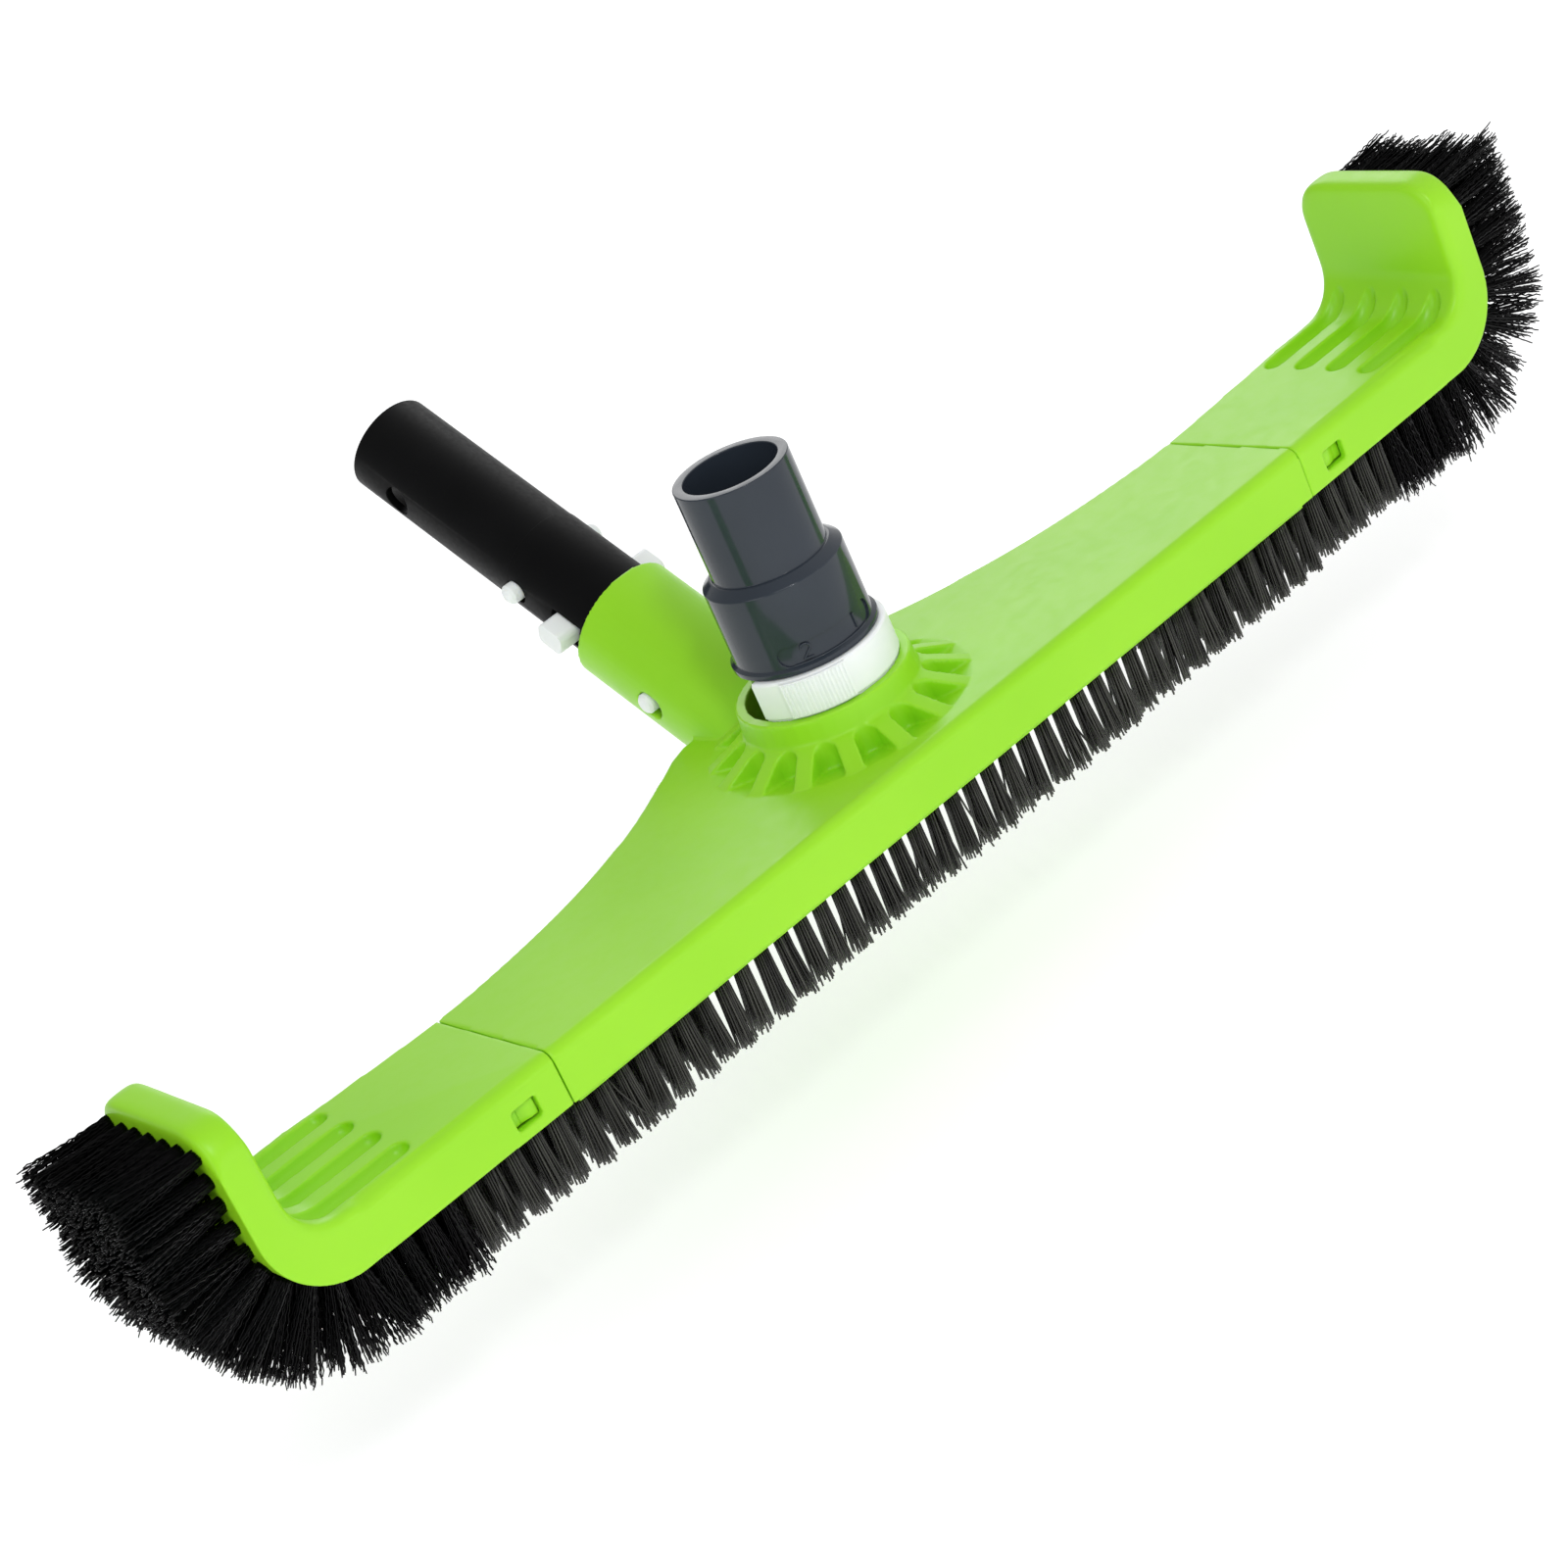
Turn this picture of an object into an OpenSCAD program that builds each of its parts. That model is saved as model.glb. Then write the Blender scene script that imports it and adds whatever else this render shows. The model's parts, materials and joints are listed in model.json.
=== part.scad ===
// Pool wall brush with a hose port and a pole socket.
// Frame: origin on the hose port's axis, at the seat of the upper hose spigot.
// +X along the brush, +Y back towards the pole, +Z up, bristles pointing down.

/* [Housing] */
// Length of the centre housing, seam to seam
centre_len = 276; // [272:1:280]
// Distance from the hose port's axis to the front face
front_reach = 44; // [43:0.5:45]
// Depth of the housing at the end seams
seam_depth = 50; // [49:0.5:51]
// Height of the front wall
wall_h = 15.4; // [15:0.1:16.2]
// Slope of the deck towards the back, rise over run
deck_slope = 0.034; // [0.02:0.002:0.036]
// Wall thickness of the housing
shell_t = 3; // [2.6:0.1:3.2]
// Radius of the fold between front wall and deck
fold_r = 3.2; // [2:0.2:4]

/* [End pieces] */
// Distance from the middle of the brush to the outer face of an end piece
half_len = 223.8; // [222:0.2:226]
// Thickness of the upturned end
upturn_t = 10.4; // [9.6:0.2:11.2]
// Height of the upturned end
upturn_h = 54; // [50:0.5:58]
// Outer radius of the bend
bend_r = 21.8; // [20:0.2:23]
// Number of grip grooves on each end piece
groove_n = 4; // [3:1:4]
// Width of a grip groove
groove_w = 6.6; // [5.4:0.2:7]
// Depth of a grip groove at the foot of the bend
groove_depth = 3.4; // [3:0.1:3.6]

/* [Hose port] */
// Diameter of the upper hose spigot
spigot_d = 31.75; // [31:0.05:32.2]
// Diameter of the lower hose sleeve
sleeve_d = 38.6; // [38:0.1:39]
// Bore of the adapter
adapter_bore_d = 26; // [24:0.5:26.5]
// Turn from mark 1 to mark 2, degrees
mark_turn = 48; // [40:1:52]
// Angle between the ribs round the collar, degrees
rib_pitch = 23.1; // [22:0.1:24]
// Width of a rib
rib_w = 5; // [4.4:0.1:5.4]

/* [Pole socket] */
// Outside diameter of the pole tube
tube_d = 29; // [28.4:0.1:29]
// Wall thickness of the pole tube
tube_wall = 2.5; // [2.3:0.1:2.5]
// Step down in diameter on the tube's free end, where a pole is started
land_step = 0.4; // [0.35:0.05:0.6]
// Length of the pole tube from the socket's floor
tube_len = 135; // [130:1:140]
// Angle of the pole tube above the deck, degrees
pole_angle = 32; // [31:0.5:33]
// Outside diameter of the socket
socket_d = 35.4; // [35:0.1:36]
// Diameter of the clip buttons
button_d = 6; // [5.4:0.1:6]

/* [Bristles] */
// Spacing of the tufts along the brush
tuft_pitch = 6.9; // [6.6:0.05:6.95]
// Diameter of a tuft at its root
tuft_d = 4.2; // [3.6:0.1:4.6]
// Depth of the bristle tips below the housing's lower edge
tuft_drop = 20.6; // [18:0.2:22]
// Length of the end tufts
end_tuft_len = 24; // [22:0.5:25]

/* [Hidden] */

lime = [0.60, 0.90, 0.22];
slate = [0.25, 0.28, 0.31];
natural = [0.91, 0.93, 0.92];
black = [0.04, 0.04, 0.045];
charcoal = [0.20, 0.20, 0.19];
steel = [0.75, 0.76, 0.78];

seat_z = 63.2;                   // spigot seat above the housing's lower edge
front_y = -front_reach;          // front face
seam_y = front_y + seam_depth;   // back edge at the seams
seam_x = centre_len / 2;
fit = 0.05;                      // radial clearance of the hose and pole bores
cross_len = 60;                  // length of the cuts right across the pole tube

// Heights are measured from the housing's lower edge; place() moves a node to the origin.
module place() { translate([0, 0, -seat_z]) children(); }
module flipped() { mirror([1, 0, 0]) children(); }
module along_y(w) { rotate([90, 0, 0]) linear_extrude(w, center = true) children(); }
module along_x(w) { rotate([90, 0, 90]) linear_extrude(w, center = true) children(); }
module rod_x(r, len, r_end = undef, center = false) {
  rotate([0, 90, 0])
    cylinder(r1 = r, r2 = is_undef(r_end) ? r : r_end, h = len, center = center, $fn = 40);
}
// upright round steps; columns: foot z, height, foot radius, top radius
module turned(steps) {
  for (step = steps)
    translate([0, 0, step[0]]) cylinder(r1 = step[2], r2 = step[3], h = step[1], $fn = 96);
}
// pole frame: z runs up the tube's axis from the socket's floor
module at_pole() {
  translate([0, 50.4, 15.6]) rotate([-(90 - pole_angle), 0, 0]) children();
}

// ---------------------------------------------------------------- housing outline
swell_x = 22;                    // half width of the flat top of the back edge's swell
swell_steps = 18;
back_max_y = 44;                 // back edge behind the port

// back edge of the deck in plan, swelling towards the socket
function back_y(x) = min(back_max_y,
  seam_y - 2.4 + 41.4 * exp(-pow(max(abs(x) - swell_x, 0) / 48, 1.2)));
function back_points(inset, x_end) =
  [for (start = [x_end, -swell_x], i = [0:swell_steps])
    let (x = start - i * (x_end - swell_x) / swell_steps) [x, back_y(x) - inset]];
function deck_z(y) = wall_h - deck_slope * (y - front_y);

module plan(inset, x_end) {
  polygon(concat([[-x_end, front_y + inset], [x_end, front_y + inset]],
                 back_points(inset, x_end)));
}
module deck_side(drop, bottom) {
  y0 = front_y - 1;
  y1 = 60;
  polygon([[y0, bottom], [y1, bottom], [y1, deck_z(y1) - drop], [y0, deck_z(y0) - drop]]);
}
module fold_cutter(len) {
  along_x(len) translate([front_y, wall_h]) difference() {
    translate([-1, -fold_r]) square([fold_r + 1, fold_r + 1.2]);
    translate([fold_r, -fold_r - 0.05]) circle(r = fold_r, $fn = 48);
  }
}
module housing_shell() {
  difference() {
    intersection() {
      along_x(centre_len) deck_side(0, 0);
      linear_extrude(40) plan(0, seam_x);
    }
    fold_cutter(centre_len + 2);
    // hollow below the deck
    intersection() {
      along_x(centre_len) deck_side(shell_t, -1);
      translate([0, 0, -1]) linear_extrude(40) plan(shell_t, seam_x - shell_t);
    }
  }
}

// ---------------------------------------------------------------- collar ribs
pocket_r = 28.6;                 // centre of a pocket's round inner end
pocket_out_r = 44;               // outer end of a pocket
function pocket_half_w(r) = r * sin(rib_pitch / 2) - rib_w / 2;

// the ribs follow the deck: their height is measured square to it, from its surface
module on_deck() {
  translate([0, 0, deck_z(0)]) rotate([-atan(deck_slope), 0, 0]) children();
}
module collar_ribs() {
  intersection() {
    on_deck() turned([[0.2, 6.2, 37.2, 24], [-5, 5.2, 37.2, 37.2]]);
    translate([0, 0, -1]) linear_extrude(40) plan(0.5, seam_x);
  }
}
// the floor of a pocket between two ribs is deepest at the collar and runs out on the deck
module rib_pockets() {
  in_w = pocket_half_w(pocket_r);
  out_w = pocket_half_w(pocket_out_r);
  on_deck() difference() {
    for (i = [-6:6]) rotate([0, 0, 270 + i * rib_pitch])
      translate([0, 0, -2.4]) linear_extrude(12) union() {
        translate([pocket_r, 0]) circle(r = in_w, $fn = 32);
        polygon([[pocket_r, -in_w], [pocket_out_r, -out_w],
                 [pocket_out_r, out_w], [pocket_r, in_w]]);
      }
    rotate_extrude($fn = 96) polygon([[20, -4], [46, -4], [46, 1.6], [26.4, -2], [20, -2]]);
  }
}

// ---------------------------------------------------------------- centre housing
rail_z = -2.2;                   // underside of the tuft rails
rail_inset = 2.5;                // from the housing's outline
side_x = 86;                     // inner limit of the close-set side tufts
tongue_z = 3.2;
tongue_size = [22, 37, 8.6];
tongue_root = 2;                 // overlap of a tongue with the housing
latch_z = 3.6;
latch_h = 4.8;
barrel_r = 17.4;                 // adapter barrel in the port

module tuft_rails() {
  // front rail
  translate([-seam_x + rail_inset, front_y + rail_inset, rail_z])
    cube([centre_len - 2 * rail_inset, 7.5, wall_h - rail_z - 2]);
  // side plates
  intersection() {
    translate([0, 0, rail_z]) linear_extrude(5.4 - rail_z)
      plan(rail_inset, seam_x - rail_inset);
    union() {
      for (side = [-1, 1]) translate([side * (side_x + 40), 0, 0])
        cube([80, 200, 60], center = true);
    }
  }
  // rear rail
  translate([0, 0, rail_z]) linear_extrude(8) difference() {
    plan(rail_inset, side_x + 1);
    plan(rail_inset + 7, side_x + 2);
    translate([-200, -100]) square([400, 100 + seam_y - 9.4]);
  }
}
module socket_body() {
  intersection() {
    at_pole() translate([0, 0, -24]) cylinder(d = socket_d, h = 62, $fn = 96);
    translate([-30, 12, 0]) cube([60, 120, 90]);
  }
}
// tongues that carry the end pieces, with latch roots
module tongues() {
  for (side = [-1, 1]) scale([side, 1, 1]) {
    translate([seam_x - tongue_root, front_y + 8, tongue_z]) cube(tongue_size);
    translate([seam_x - tongue_root, front_y + 2.8, latch_z]) cube([3.35, 6, latch_h]);
  }
}
// slot for a clip button at height z, running down from it
module button_slot(z, run) {
  r = button_d / 2 + 0.25;
  for (end_z = [z - run, z]) translate([0, 0, end_z]) rod_x(r, cross_len, center = true);
  translate([-cross_len / 2, -r, z - run]) cube([cross_len, 2 * r, run]);
}
module socket_button_slot() { button_slot(socket_button_z, 2.6); }
module centre_housing() {
  place() color(lime) difference() {
    union() {
      difference() {
        union() {
          housing_shell();
          collar_ribs();
        }
        rib_pockets();
      }
      tuft_rails();
      // port collar
      turned([[9, 17.7, 26.2, 24.4]]);
      socket_body();
      tongues();
    }
    // port: upper recess, bore, flange recess and the clearance below
    turned([
      [14.6, 20, 21.5, 21.5],
      [0, 20, barrel_r + fit, barrel_r + fit],
      [0, 9.01, 19.2, 19.2],
      [-3, 11.9, 24, 24]]);
    // pole bore and button slots
    at_pole() {
      translate([0, 0, -2.2]) cylinder(r = tube_d / 2 + fit, h = 60, $fn = 96);
      socket_button_slot();
    }
  }
}

// ---------------------------------------------------------------- end pieces
seam_gap = 0.25;
end_back_y = 8.7;                // back edge at the upturned ends
foot_rise = 0.7;                 // rise of the underside from seam to bend
bend_x = half_len - bend_r;      // where the bend starts
bend_z = foot_rise + bend_r;     // centre height of the outer bend
inner_r = 11.5;                  // inner bend radius
inner_z = 27.5;                  // centre height of the inner bend
upturn_x = half_len - upturn_t;  // inner face of the upturned end
inner_x = upturn_x - inner_r;    // centre of the inner bend
bend_deck_z = inner_z - inner_r; // deck height at the bend
corner_r = 11;                   // top corners of the upturned end

// tilt of the deck plane through the seam's front corner
deck_rise = (bend_deck_z - wall_h + deck_slope * (end_back_y - front_y)) / (bend_x - seam_x);
normal_len = sqrt(1 + deck_rise * deck_rise + deck_slope * deck_slope);
tilt_x = -asin(deck_slope / normal_len);
tilt_y = -asin(deck_rise / (normal_len * cos(tilt_x)));

module end_side() {
  cut_x = bend_x - 10;
  difference() {
    union() {
      polygon([[seam_x, 0], [bend_x, foot_rise], [bend_x, bend_deck_z], [seam_x, wall_h]]);
      intersection() {
        translate([bend_x, bend_z]) circle(r = bend_r, $fn = 128);
        translate([bend_x, 0]) square([bend_r + 1, bend_z]);
      }
      translate([bend_x, bend_z]) square([bend_r, upturn_h - bend_z]);
    }
    translate([inner_x, inner_z]) circle(r = inner_r, $fn = 96);
    translate([cut_x, inner_z]) square([upturn_x - cut_x, upturn_h]);
    translate([cut_x, bend_deck_z]) square([inner_x - cut_x, upturn_h]);
  }
}
module end_plan() {
  polygon([[seam_x + seam_gap, front_y], [half_len + 1, front_y], [half_len + 1, end_back_y],
           [205, end_back_y], [178, seam_y + 0.6], [seam_x + seam_gap, seam_y]]);
}
// end piece seen along X, with the rounded corners of the upturned end
module end_face() {
  depth = end_back_y - front_y;
  translate([front_y, -1]) square([depth, upturn_h + 1 - corner_r]);
  translate([front_y + corner_r, -1]) square([depth - 2 * corner_r, upturn_h + 1]);
  for (y = [front_y + corner_r, end_back_y - corner_r])
    translate([y, upturn_h - corner_r]) circle(r = corner_r, $fn = 64);
}

// a groove runs along the deck and fades out part of the way round the bend
groove_x = 180.4;                // centre of its round start
groove_y = front_y + 8.5;        // first groove
groove_pitch = 12.3;
groove_end = 63;                 // where it fades out, degrees round the bend
groove_bed = bend_deck_z - groove_depth;
groove_tip = [inner_r * sin(groove_end), inner_z - inner_r * cos(groove_end)];
// centre height of the arc that leaves the bed level and passes through the tip
groove_arc_z = (pow(groove_tip[0], 2) + pow(groove_tip[1], 2) - pow(groove_bed, 2))
  / (2 * (groove_tip[1] - groove_bed));

module groove() {
  r = groove_w / 2;
  run = inner_x - groove_x;
  cut_h = 6;
  mid_r = groove_arc_z - groove_bed - r;
  // curved part
  translate([inner_x, 0, groove_arc_z]) rotate([90, 0, 0]) rotate([0, 0, -90])
    rotate_extrude(angle = 100, $fn = 96) intersection() {
      union() {
        translate([mid_r, 0]) circle(r = r, $fn = 32);
        translate([0, -r]) square([mid_r, 2 * r]);
      }
      translate([0, -20]) square([40, 40]);
    }
  // straight part and its round start
  translate([groove_x, 0, groove_bed + r]) {
    rotate([0, 90, 0]) cylinder(r = r, h = run, $fn = 32);
    translate([0, -r, 0]) cube([run, 2 * r, cut_h]);
    sphere(r = r, $fn = 32);
    cylinder(r = r, h = cut_h, $fn = 32);
  }
}

latch_x = seam_x + 2.75;         // round inner end of the latch arm
latch_y = front_y + 3.65;
latch_w = 2;

module right_end_shape() {
  difference() {
    intersection() {
      translate([0, -17, 0]) along_y(60) end_side();
      translate([0, 0, -1]) linear_extrude(80) end_plan();
      along_x(600) union() end_face();
    }
    // the deck starts with the housing's slope at the seam and runs out level at the bend
    intersection() {
      translate([seam_x, front_y, wall_h]) rotate([tilt_x, tilt_y, 0])
        translate([-100, -100, 0]) cube([300, 300, 60]);
      translate([seam_x - 1, front_y - 1, 0]) cube([bend_x - seam_x + 1, 120, 60]);
    }
    intersection() {
      fold_cutter(600);
      translate([0, front_y - 5, 0]) cube([bend_x - 4, 20, 40]);
    }
    for (i = [0:groove_n - 1]) translate([0, groove_y + groove_pitch * i, 0]) groove();
    // pocket for the tongue, and the latch window
    translate([seam_x - 1, front_y + 2.5, tongue_z - 0.4]) cube([23, 45, 9.3]);
    translate([latch_x + 5.65, front_y - 1, latch_z - 0.4]) cube([7.8, 5, 5.6]);
  }
}
module right_end_piece() { place() color(lime) right_end_shape(); }
module left_end_piece() { place() color(lime) flipped() right_end_shape(); }

module latch_shape() {
  translate([latch_x, latch_y, latch_z]) {
    cylinder(r = latch_w / 2, h = latch_h, $fn = 32);
    translate([0, -latch_w / 2, 0]) cube([13.65, latch_w, latch_h]);
    // the tooth catches on the seam side and has its lead-in ramp on the outer side
    translate([0, 0, 0.2]) linear_extrude(latch_h - 0.4)
      polygon([[6.25, 0], [11.05, 0], [11.05, -1.2], [8.25, -2.1], [6.25, -2.1]]);
  }
}
module right_latch_tongue() { place() color(lime) latch_shape(); }
module left_latch_tongue() { place() color(lime) flipped() latch_shape(); }

// ---------------------------------------------------------------- hose port
sleeve_r = sleeve_d / 2;
spigot_r = spigot_d / 2;
adapter_bore_r = adapter_bore_d / 2;
lower_bore_r = 14;
seal_z = 12;
recess_mid = 259.4;              // bearing of the marks' recess
recess_half = mark_turn / 2 + 15;
recess_z = 40.3;
recess_h = 5.4;
recess_depth = 0.6;

// recess that holds the marks, with round ends
module mark_recess() {
  cut_r = sleeve_r - 1.5;
  cut_t = 3;
  difference() {
    union() {
      rotate([0, 0, recess_mid - recess_half])
        rotate_extrude(angle = 2 * recess_half, $fn = 96)
          translate([cut_r, recess_z]) square([cut_t, recess_h]);
      for (side = [-1, 1]) rotate([0, 0, recess_mid + side * recess_half])
        translate([cut_r, 0, recess_z + recess_h / 2]) rod_x(2.85, cut_t);
    }
    cylinder(r = sleeve_r - recess_depth, h = 80, $fn = 96);
  }
}
module hose_adapter() {
  place() color(slate) difference() {
    // foot flange, barrel, shoulder and its bevel, sleeve and its taper, spigot
    turned([
      [6, 2.7, 18.6, 18.6],
      [8, 30.8, barrel_r, barrel_r],
      [38.2, 1.3, 20.4, 20.4],
      [39.5, 0.5, 20.4, sleeve_r],
      [39, 22, sleeve_r, sleeve_r],
      [61, seat_z - 61, sleeve_r, 16.5],
      [62, 27.3, spigot_r, spigot_r]]);
    // upper bore, lower bore, and the taper between them
    turned([
      [55, 40, adapter_bore_r, adapter_bore_r],
      [0, 52, lower_bore_r, lower_bore_r],
      [52, 3.01, lower_bore_r, adapter_bore_r]]);
    // seal groove
    translate([0, 0, seal_z - 1]) rotate_extrude($fn = 96) translate([15.8, 0]) square([3, 2]);
    mark_recess();
  }
}
module lock_ring() {
  place() color(natural) {
    rotate([0, 0, 184.5]) rotate_extrude(angle = 192, $fn = 96)
      polygon([[17.5, 14.8], [21.4, 14.8], [21.4, 27], [21.9, 27.4],
               [21.9, 37.2], [21.4, 37.9], [17.5, 37.9]]);
    // thumb pad with fine grip ribs
    rotate([0, 0, 208.5]) rotate_extrude(angle = 47, $fn = 96)
      translate([21, 27.3]) square([1.6, 10.2]);
    for (i = [0:16]) rotate([0, 0, 210 + i * 2.75])
      translate([22.4, -0.25, 27.6]) cube([0.6, 0.5, 9.6]);
  }
}
module adapter_seal() {
  place() color(black) translate([0, 0, seal_z])
    rotate_extrude($fn = 96) translate([16.6, 0]) circle(r = 0.78, $fn = 32);
}

// ---------------------------------------------------------------- pole tube and clips
leg_x = 10.45;                   // middle of a clip leg
leg_t = 1.8;
leg_w = 7;
pole_pivot = 92;                 // pivots and buttons: heights up the pole's axis
socket_pivot = 30;
pole_button_z = 66.4;
socket_button_z = 11.2;
tab_z = 42;                      // where the finger tabs start
tab_len = 9;
tab_r = 2.2;                     // corner radius of a finger tab
tab_reach = 20 - leg_x;

module pole_tube() {
  foot_z = -2;
  place() color(black) at_pole() difference() {
    union() {
      translate([0, 0, foot_z]) cylinder(d = tube_d, h = 72, $fn = 96);
      translate([0, 0, foot_z]) cylinder(d = tube_d - land_step, h = tube_len, $fn = 96);
    }
    translate([0, 0, foot_z - 1])
      cylinder(d = tube_d - 2 * tube_wall, h = tube_len + 2, $fn = 96);
    socket_button_slot();
    button_slot(pole_button_z, 1);
    // finger tab windows
    translate([-cross_len / 2, -4, tab_z - 1.4]) cube([cross_len, 8, tab_len + 2]);
    // cross hole near the free end
    translate([0, 0, 115]) rod_x(4.5, cross_len, center = true);
  }
}
module round_top(half_w, h, r) {
  translate([-half_w, 0]) square([2 * half_w, h - r]);
  translate([-half_w + r, 0]) square([2 * (half_w - r), h]);
  for (side = [-1, 1]) translate([side * (half_w - r), h - r]) circle(r = r, $fn = 64);
}
module bow(pivot, h, r) {
  at_pole() translate([0, 0, pivot + 1.05]) along_y(leg_w) difference() {
    round_top(leg_x + leg_t / 2, h, r);
    round_top(leg_x - leg_t / 2, h - leg_t, r - leg_t);
    translate([-30, -30]) square([60, 30.01]);
  }
}
// a button ends in a low dome
module button(z, tip) {
  r = button_d / 2;
  translate([leg_x, 0, z]) rod_x(r, tip - leg_x - 1.3);
  translate([tip - 1.31, 0, z]) rod_x(r, 0.8, r - 0.6);
  translate([tip - 0.52, 0, z]) rod_x(r - 0.6, 0.52, r - 1.6);
}
module leg(pivot, foot_z, button_z, button_tip) {
  translate([leg_x, 0, pivot]) rotate([90, 0, 0])
    cylinder(d = leg_t, h = leg_w, center = true, $fn = 32);
  translate([leg_x - leg_t / 2, -leg_w / 2, foot_z]) cube([leg_t, leg_w, pivot - foot_z]);
  button(button_z, button_tip);
}
module finger_tab() {
  flat_y = leg_w / 2 - tab_r;
  translate([leg_x, 0, tab_z]) {
    translate([0, -leg_w / 2, tab_r]) cube([tab_reach, leg_w, tab_len - 2 * tab_r]);
    translate([0, -flat_y, 0]) cube([tab_reach, 2 * flat_y, tab_len]);
    for (y = [-flat_y, flat_y], z = [tab_r, tab_len - tab_r])
      translate([0, y, z]) rod_x(tab_r, tab_reach);
  }
}
module pole_leg() {
  leg(pole_pivot, tab_z - 0.5, pole_button_z, 17.7);
  finger_tab();
}
module socket_leg() { leg(socket_pivot, socket_button_z - 4.5, socket_button_z, 19); }
module pole_clip_bow() { place() color(natural) bow(pole_pivot, 11.2, 10.9); }
module pole_clip_right_leg() { place() color(natural) at_pole() pole_leg(); }
module pole_clip_left_leg() { place() color(natural) at_pole() flipped() pole_leg(); }
module socket_clip_bow() { place() color(natural) bow(socket_pivot, 5, 4.4); }
module socket_clip_right_leg() { place() color(natural) at_pole() socket_leg(); }
module socket_clip_left_leg() { place() color(natural) at_pole() flipped() socket_leg(); }

// ---------------------------------------------------------------- centre bristles
// each group of tufts is joined by a thin sheet at its roots
sheet_t = 0.7;
sheet_gap = 0.02;                // between a sheet and the surface above it
tuft_top = rail_z - sheet_gap;
tuft_len = tuft_drop + rail_z;
front_row_y = front_y + 5.6;
front_tuft_x = [for (i = [0:39]) (i - 19.5) * tuft_pitch];
side_tuft_x = [for (i = [0:6]) side_x + 5.4 + i * tuft_pitch];
side_row_y = [for (i = [0:3]) front_y + 15 + 9.4 * i];   // rows behind the front one

// tuft roots, [x, y]
front_roots = [for (x = front_tuft_x) [x, front_row_y]];
rear_roots = [for (i = [0:22]) let (x = (i - 11) * 7.2) [x, back_y(x) - 6.2]];
side_roots = [for (x = side_tuft_x, y = side_row_y) [x, y]];

module tuft(len) { translate([0, 0, -len]) cylinder(d = tuft_d, h = len - 0.01, $fn = 24); }
module at_roots(roots) { for (root = roots) translate([root[0], root[1], 0]) children(); }
module centre_front_tufts() {
  reach = abs(front_tuft_x[0]) + 2;
  place() color(charcoal) translate([0, 0, tuft_top]) {
    translate([-reach, front_row_y - 1.6, -sheet_t]) cube([2 * reach, 3.2, sheet_t]);
    at_roots(front_roots) tuft(tuft_len);
  }
}
module side_tufts() {
  edge = 1.9;
  translate([0, 0, tuft_top]) {
    translate([side_tuft_x[0] - edge, side_row_y[0] - edge, -sheet_t])
      cube([side_tuft_x[6] - side_tuft_x[0] + 2 * edge,
            side_row_y[3] - side_row_y[0] + 2 * edge, sheet_t]);
    at_roots(side_roots) tuft(tuft_len);
  }
}
module centre_right_tufts() { place() color(charcoal) side_tufts(); }
module centre_left_tufts() { place() color(charcoal) flipped() side_tufts(); }
module centre_rear_tufts() {
  edge = [0, 1.4];
  place() color(charcoal) translate([0, 0, tuft_top]) {
    translate([0, 0, -sheet_t]) linear_extrude(sheet_t) polygon(concat(
      [for (root = rear_roots) root + edge],
      [for (i = [len(rear_roots) - 1:-1:0]) rear_roots[i] - edge]));
    at_roots(rear_roots) tuft(tuft_len);
  }
}

// ---------------------------------------------------------------- end bristles
// end tufts stand square to the outer surface, in columns across the end piece
column_y = [for (i = [0:6]) front_y + 6.4 + 6.7 * i];
grey_x = [for (i = [0:4]) seam_x + 4.2 + i * 6.9];
black_x = [for (i = [0:3]) seam_x + 38.6 + i * 6.6];
bend_angles = [for (i = [0:5]) 3 + i * 16.6];
upright_z = [for (i = [0:3]) bend_z + 5.4 + i * 6.6];
function foot_z(x) = foot_rise * (x - seam_x) / (bend_x - seam_x);

// frames on the outer surface, local z pointing into the end piece
module on_flat(places) {
  for (y = column_y, x = places) translate([x, y, foot_z(x)]) children();
}
module on_bend() {
  for (y = column_y, angle = bend_angles)
    translate([bend_x, y, bend_z]) rotate([0, -angle, 0]) translate([0, 0, -bend_r]) children();
}
module on_upright() {
  for (y = column_y, z = upright_z)
    translate([half_len, y, z]) rotate([0, -90, 0]) children();
}
module end_tuft(len) { translate([0, 0, -0.03]) tuft(len); }
// a sheet's X-Z section, drawn out across all the columns
module across() {
  translate([0, (column_y[0] + column_y[6]) / 2, 0])
    along_y(column_y[6] - column_y[0] + 3) children();
}
// section of a sheet under the flat part, from x0 to x1
module flat_sheet(x0, x1, x1_bottom) {
  polygon([[x0, foot_z(x0) - sheet_gap], [x1, foot_z(x1) - sheet_gap],
           [x1, x1_bottom], [x0, -sheet_t]]);
}
module grey_end() {
  for (x = grey_x) on_flat([x]) end_tuft(tuft_drop + foot_z(x) - 0.4);
  across() flat_sheet(grey_x[0] - 1.5, grey_x[4] + 1.5, -sheet_t);
}
module black_flat() {
  x1 = bend_x - 1.3;
  on_flat(black_x) end_tuft(end_tuft_len - 1.5);
  across() flat_sheet(black_x[0] - 1.5, x1, foot_z(x1) - sheet_t);
}
module black_bend() {
  on_bend() end_tuft(end_tuft_len);
  across() difference() {
    translate([bend_x, bend_z]) circle(r = bend_r + sheet_t, $fn = 128);
    translate([bend_x, bend_z]) circle(r = bend_r + sheet_gap, $fn = 128);
    translate([bend_x - 60, bend_z]) square([120, 60]);
    translate([bend_x - 60, bend_z - 60]) square([60, 60]);
  }
}
module black_upright() {
  on_upright() end_tuft(end_tuft_len);
  across() translate([half_len + sheet_gap, upright_z[0] - 3.4])
    square([sheet_t - sheet_gap, upright_z[3] - upright_z[0] + 5.3]);
}
module right_end_grey_tufts() { place() color(charcoal) grey_end(); }
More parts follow.
